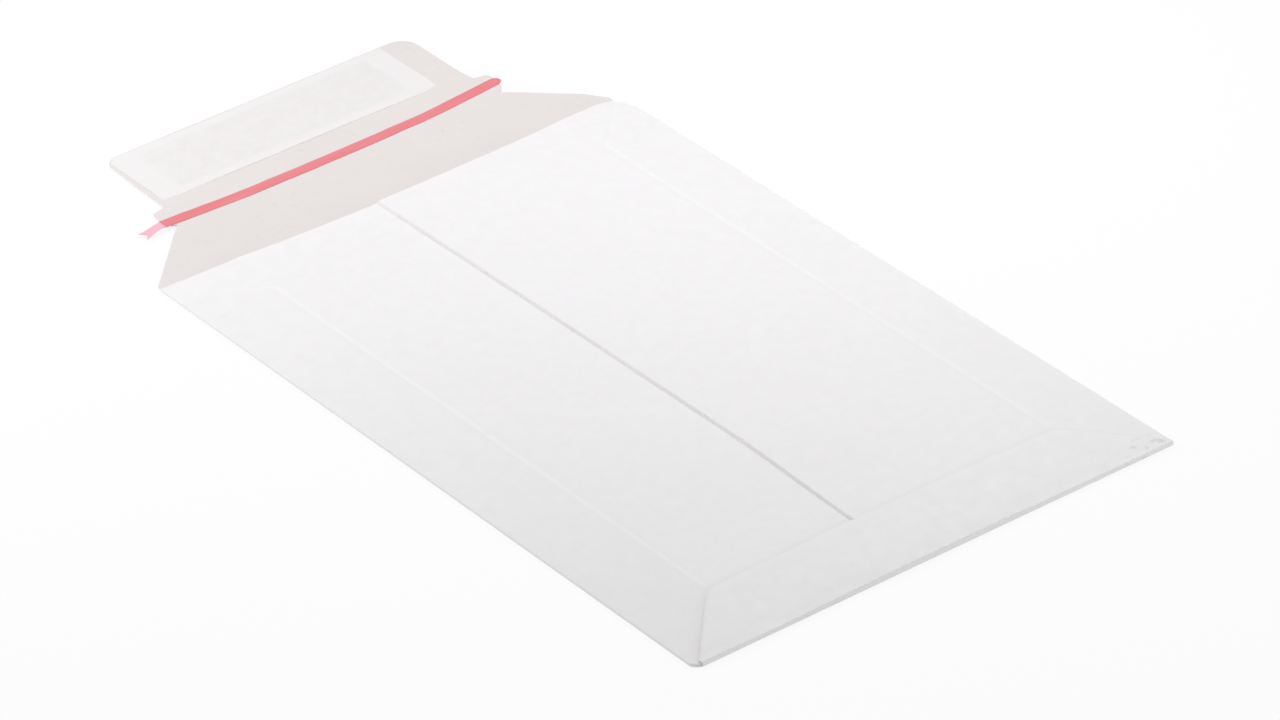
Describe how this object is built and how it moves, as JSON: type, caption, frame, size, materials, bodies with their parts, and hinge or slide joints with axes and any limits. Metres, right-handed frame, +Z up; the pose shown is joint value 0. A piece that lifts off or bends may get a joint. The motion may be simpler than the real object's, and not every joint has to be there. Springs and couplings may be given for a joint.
{
  "type": "cardboard envelope",
  "caption": "Flat board mailing envelope with an open mouth, glued centre seam, folded bottom flap and a self-seal closing flap with a tear tape.",
  "frame": {"origin": "centre of the box around the part, on the surface that its address side lies on", "axes": "+Z up out of the back with the seam, +Y from the base fold towards the closing flap, +X to the right seen from above with the closing flap away from you"},
  "size_m": [0.152, 0.3162, 0.0063],
  "materials": {
    "board": "matt white outside, light grey inside and at the cut edges",
    "glue": "dried dispersion glue film",
    "tear_tape": "red film with a soft sheen",
    "adhesive": "tacky pressure-sensitive adhesive",
    "liner": "siliconised white paper, slightly cockled"
  },
  "bodies": {
    "root": {"folded_board": "board", "centre_seam_glue": "glue", "bottom_flap_glue": "glue", "tear_tape": "tear_tape", "adhesive_strip": "adhesive", "release_liner": "liner"}
  },
  "joints": []
}
